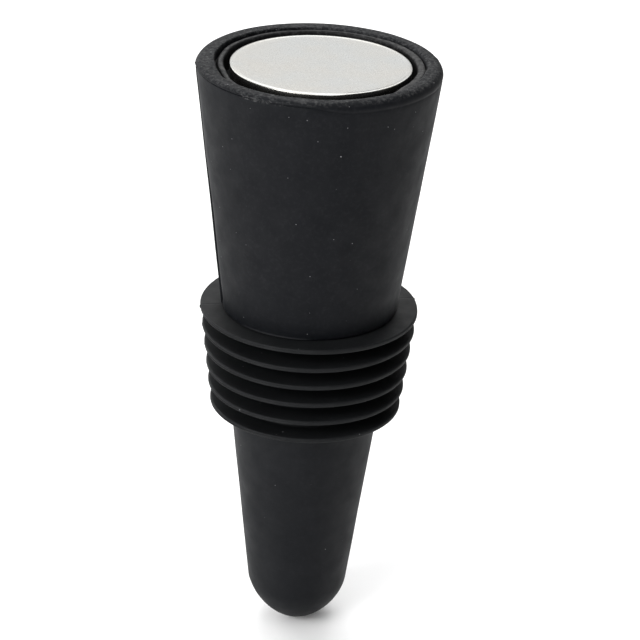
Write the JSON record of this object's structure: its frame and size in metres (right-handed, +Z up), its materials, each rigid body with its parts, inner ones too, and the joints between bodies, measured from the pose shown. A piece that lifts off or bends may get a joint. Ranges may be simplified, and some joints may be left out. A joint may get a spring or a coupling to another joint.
{
  "type": "bottle stopper",
  "caption": "Black soft-touch bottle stopper: tapered grip with a metal disc in its top, finned seal collar and closed tapered plug.",
  "frame": {"origin": "on the stopper's axis in the plane of the bottle's mouth, where the foot of the grip meets the top fin", "axes": "+Z up along the stopper's axis, out of the bottle towards the metal disc; X and Y are across it and equivalent"},
  "size_m": [0.029, 0.029, 0.0751],
  "materials": {
    "disc_metal": "satin face with a polished rounded edge",
    "adhesive_foam": "thin foam pad with adhesive on both faces",
    "core_plastic": "moulded, lightly satin",
    "sleeve_silicone": "soft-touch matte",
    "seal_silicone": "smooth satin silicone",
    "boot_silicone": "matte silicone",
    "stem_plastic": "moulded",
    "fastener_steel": "zinc plated"
  },
  "bodies": {
    "root": {"face_disc": "disc_metal", "disc_adhesive": "adhesive_foam", "upper_core": "core_plastic", "grip_sleeve": "sleeve_silicone", "seal_collar": "seal_silicone", "plug_boot": "boot_silicone", "stem_core": "stem_plastic", "screw_washer": "fastener_steel", "clamp_screw": "fastener_steel"}
  },
  "joints": []
}
